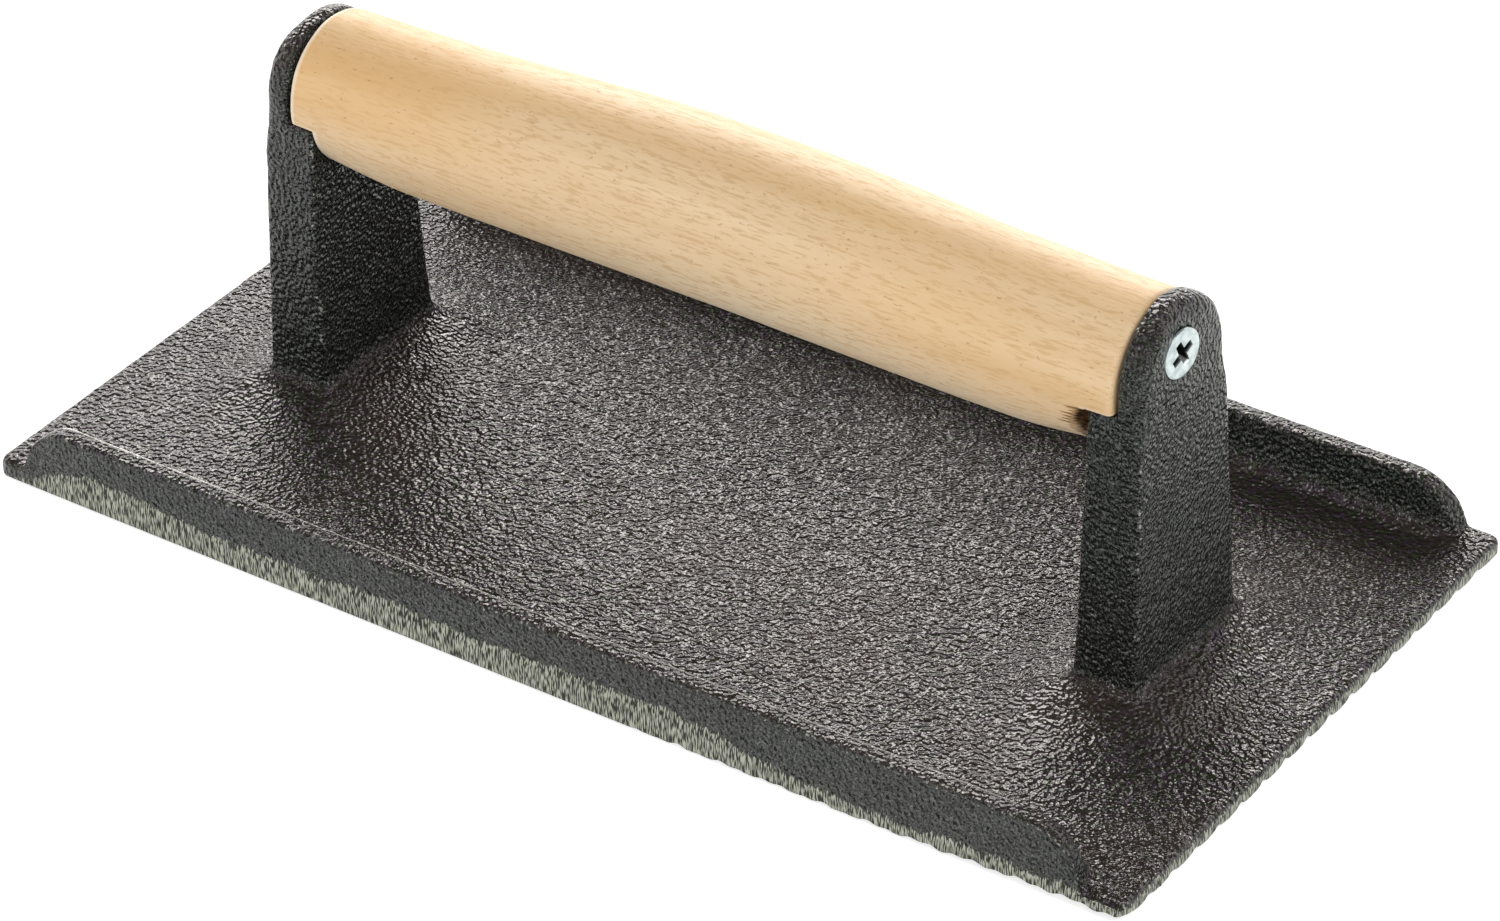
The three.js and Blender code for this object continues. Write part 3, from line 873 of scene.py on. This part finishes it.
def cut_chip(body):
    """Tears the chip out and returns how deep each point lies inside it, from 0 to 1."""
    wall = NOTCH_WALL
    start = wall + CHIP_MARGIN
    outline = [(start, CHIP_BOTTOM), (start, CHIP_TOP)]
    for i in range(2 * SPLINTERS + 1):
        share = i / (2 * SPLINTERS)
        reach = 0.2 + CHIP_REACH * (1 - share) ** 0.5 * (0.35 + 0.65 * float(smoothstep(0, 0.4, share)))
        if i % 2:
            uneven = (LONGEST_SPLINTER - SHORTEST_SPLINTER) * abs(math.sin(5.3 * i))
            reach += (SHORTEST_SPLINTER + uneven) * float(smoothstep(0.8, 0.35, share))
        outline.append((wall - reach, CHIP_TOP + (CHIP_BOTTOM - CHIP_TOP) * share))
    centre = (grip_top(wall) + grip_bottom(wall)) / 2
    radius = (grip_top(wall) - grip_bottom(wall)) / 2

    # The cutter's layers follow the grip's round surface, and get shorter with depth.
    layers = []
    for depth, shrink in ((-2.0, 1.1), (0.2, 1.0), (0.6 * CHIP_DEPTH, 0.8), (CHIP_DEPTH, 0.55)):
        layer = []
        for x, z in outline:
            surface = -math.sqrt(max(radius**2 - (z - centre) ** 2, 4))
            layer.append((start + (x - start) * shrink, surface + depth, z))
        layers.append(np.array(layer))
    cut(body, loft("chip", layers))

    # What lies beneath the grip's round surface there is torn wood.
    points = read_points(body)
    beneath = radius - np.hypot(points[:, 1], points[:, 2] - centre)
    chip_end = wall - CHIP_REACH - LONGEST_SPLINTER - 0.3
    near = (points[:, 0] > chip_end) & (points[:, 1] < -2) & (points[:, 2] < CHIP_TOP + 0.1)
    return np.where(near, smoothstep(0.2, 0.6, beneath), 0)


def grip():
    """The wooden grip: round sections along X, with a notch and a pilot hole at each end, and one chip."""
    angles = np.arange(GRIP_SEGMENTS) / GRIP_SEGMENTS * math.tau
    rings = []
    rounding = GRIP_END_ROUND
    ends = [rounding * (1 - math.cos(i / 4 * math.pi / 2)) for i in range(5)]
    stations = [-GRIP_END + e for e in ends]
    stations += list(np.arange(-GRIP_END + 1.5, GRIP_END - 1.4, 1.0))
    stations += [GRIP_END - e for e in ends[::-1]]
    for x in stations:
        from_end = min(GRIP_END - abs(x), rounding)
        inset = rounding - math.sqrt(rounding**2 - (rounding - from_end) ** 2)
        centre = (grip_top(x) + grip_bottom(x)) / 2
        radius = (grip_top(x) - grip_bottom(x)) / 2 - inset
        along = np.full(GRIP_SEGMENTS, x)
        rings.append(np.stack([along, radius * np.cos(angles), centre + radius * np.sin(angles)], axis=1))
    body = loft("grip", rings)
    points = read_points(body)
    normals = read_normals(body)
    wobble = GRIP_WOBBLE * fractal_noise(points * np.array([0.35, 1, 1]), 9.0, octaves=2, seed=41)
    write_points(body, points + normals * wobble[:, None])

    for side in (-1, 1):
        cut(body, notch(side))
        cut(body, pilot_hole(side))
    set_attribute(body, "torn", cut_chip(body))
    hand_over(body, "wood_handle", wood_material(), crease=40)


# ---------------------------------------------------------------- the screws


def screw_profile():
    """A screw's outline as (x, radius), from its tip to its face. Ridges stand in for the thread."""
    face = SCREW_FACE
    cone_start = face - HEAD_LAND
    cone_end = cone_start - (HEAD_RADIUS - SHANK_RADIUS)
    profile = [(SCREW_TIP, 0)]
    thread_end = cone_end - PLAIN_SHANK
    count = int((thread_end - SCREW_TIP) / THREAD_PITCH)
    for i in range(count):
        x = SCREW_TIP + (i + 0.5) * THREAD_PITCH
        taper = min((x - SCREW_TIP) / SCREW_TIP_LENGTH, 1)
        profile.append((x - THREAD_PITCH * 0.3, SHANK_RADIUS * taper * 0.85))
        profile.append((x - THREAD_PITCH * 0.05, THREAD_RADIUS * taper))
        profile.append((x + THREAD_PITCH * 0.05, THREAD_RADIUS * taper))
        profile.append((x + THREAD_PITCH * 0.3, SHANK_RADIUS * min(taper * 1.1, 1)))
    profile.append((cone_end - 0.5, SHANK_RADIUS))
    profile.append((cone_end + 0.3, SHANK_RADIUS + 0.2))
    profile.append((cone_start, HEAD_RADIUS))

    # The rim of the face is rounded.
    for below, inset in ((0.22, 0), (0.08, 0.06), (0.02, 0.2), (0, 0.5)):
        profile.append((face - below, HEAD_RADIUS - inset))
    profile.append((face, 0))
    return profile


def recess_wedge(turn):
    """One bar of the cross recess: a tapered wedge, a little thicker in the middle, turned about X."""
    wide, arm = RECESS_SPAN / 2, RECESS_ARM / 2
    outline = [(wide, arm), (arm, arm * 1.1), (-arm, arm * 1.1), (-wide, arm)]
    outline += [(-y, -z) for y, z in outline]
    rings = []
    for x, share in ((SCREW_FACE - RECESS_DEPTH, 0.35), (SCREW_FACE - 0.4, 0.92), (SCREW_FACE + 0.5, 1.12)):
        rings.append(np.array([(x, y * share, z * share) for y, z in outline]))
    wedge = loft("wedge", rings)
    wedge.data.transform(Matrix.Rotation(turn, 4, "X"))
    return wedge


def screw(side, node, material):
    """A countersunk cross-recess screw."""
    body = revolve("screw", screw_profile(), 72)
    for turn in (0, math.pi / 2):
        cut(body, recess_wedge(turn))

    # Painted shade fills the recess.
    points = read_points(body)
    depth = SCREW_FACE - points[:, 0]
    across = np.hypot(points[:, 1], points[:, 2])
    set_attribute(body, "recess_shade", smoothstep(0.0, 0.12, depth) * (across < RECESS_SPAN * 0.62))
    body.data.transform(Matrix.Rotation(math.radians(RECESS_TURN), 4, "X"))
    as_driven(body, side)
    body.name = f"fine_{node}"
    hand_over(body, node, material, crease=30)


# ---------------------------------------------------------------- the room


# The camera's place and turn, in degrees and metres. It looks past the origin by CAMERA_RIGHT and CAMERA_UP.
CAMERA_AZIMUTH = 36.046
CAMERA_ELEVATION = 34.402
CAMERA_ROLL = -1.909
CAMERA_DISTANCE = 0.967465
CAMERA_RIGHT = 0.001677
CAMERA_UP = 0.007953
CAMERA_LENS = 148.63
SENSOR_WIDTH = 36


def camera():
    azimuth, elevation = math.radians(CAMERA_AZIMUTH), math.radians(CAMERA_ELEVATION)
    back = Vector(
        (
            math.sin(azimuth) * math.cos(elevation),
            -math.cos(azimuth) * math.cos(elevation),
            math.sin(elevation),
        )
    )
    level_right = Vector((0, 0, 1)).cross(back).normalized()
    level_up = back.cross(level_right)
    roll = math.radians(CAMERA_ROLL)
    right = math.cos(roll) * level_right + math.sin(roll) * level_up
    up = -math.sin(roll) * level_right + math.cos(roll) * level_up
    data = bpy.data.cameras.new("camera")
    data.sensor_width = SENSOR_WIDTH
    data.lens = CAMERA_LENS
    data.clip_start = 0.05
    data.clip_end = 20
    made = bpy.data.objects.new("camera", data)
    rotation = Matrix((right, up, back)).transposed().to_4x4()
    place = back * CAMERA_DISTANCE + right * CAMERA_RIGHT + up * CAMERA_UP
    made.matrix_world = Matrix.Translation(place) @ rotation
    bpy.context.scene.collection.objects.link(made)
    bpy.context.scene.camera = made


def area_light(name, place, target, size, power, colour=(1, 1, 1)):
    """A rectangular light that the camera doesn't see. Its sizes are in metres, and its power is in watts."""
    data = bpy.data.lights.new(name, "AREA")
    data.shape = "RECTANGLE"
    data.size, data.size_y = size
    data.energy = power
    data.color = colour
    made = bpy.data.objects.new(name, data)
    made.location = place
    made.rotation_mode = "QUATERNION"
    made.rotation_quaternion = (Vector(target) - Vector(place)).to_track_quat("-Z", "Y")
    made.visible_camera = False
    bpy.context.scene.collection.objects.link(made)


# The studio's brightness: white behind the press at the level of the table, and dark elsewhere.
HORIZON = 1.8
CEILING = 0.18
FLOOR_HALF_SIZE = 4000
FLOOR_DROP = 0.0002  # in metres, so that the floor and the resting face don't coincide


def room():
    sheet = [(x * FLOOR_HALF_SIZE, y * FLOOR_HALF_SIZE, 0) for x, y in ((-1, -1), (1, -1), (1, 1), (-1, 1))]
    floor = new_object("floor", sheet, [[0, 1, 2, 3]])
    floor.location.z = -FLOOR_DROP
    floor.data.materials.append(floor_material())
    nodes = Nodes(bpy.data.worlds.new("world"), "Background")
    direction = nodes.add("ShaderNodeTexCoord").outputs["Generated"]
    height = nodes.add("ShaderNodeSeparateXYZ", {0: direction}).outputs["Z"]
    behind = nodes.add("ShaderNodeVectorMath", {0: direction, 1: (-0.5, 0.87, 0)}, operation="DOT_PRODUCT")
    low_down = nodes.ramp(height, 0.05, 0.62, HORIZON, 0)
    backdrop = nodes.maths("MULTIPLY", low_down, nodes.ramp(behind.outputs["Value"], -0.3, 0.5))
    bpy.context.scene.world = nodes.finish(Color=(1, 1, 1, 1), Strength=nodes.maths("ADD", backdrop, CEILING))
    area_light("key", place=(0.9, -0.35, 1.35), target=(0, 0, 0.03), size=(1.1, 0.9), power=18)
    area_light("front", place=(-0.85, -1.15, 0.55), target=(0, 0, 0.03), size=(0.8, 0.4), power=6)
    area_light(
        "backdrop",
        place=(-0.70, 1.03, 0.49),
        target=(0, 0, 0),
        size=(1.35, 0.62),
        power=18,
        colour=(1, 0.95, 0.90),
    )
    bpy.context.scene.view_settings.view_transform = "Standard"


# ---------------------------------------------------------------- the press

camera()
room()
casting()
grip()
zinc = zinc_material()
screw(1, "screw_right", zinc)
screw(-1, "screw_left", zinc)
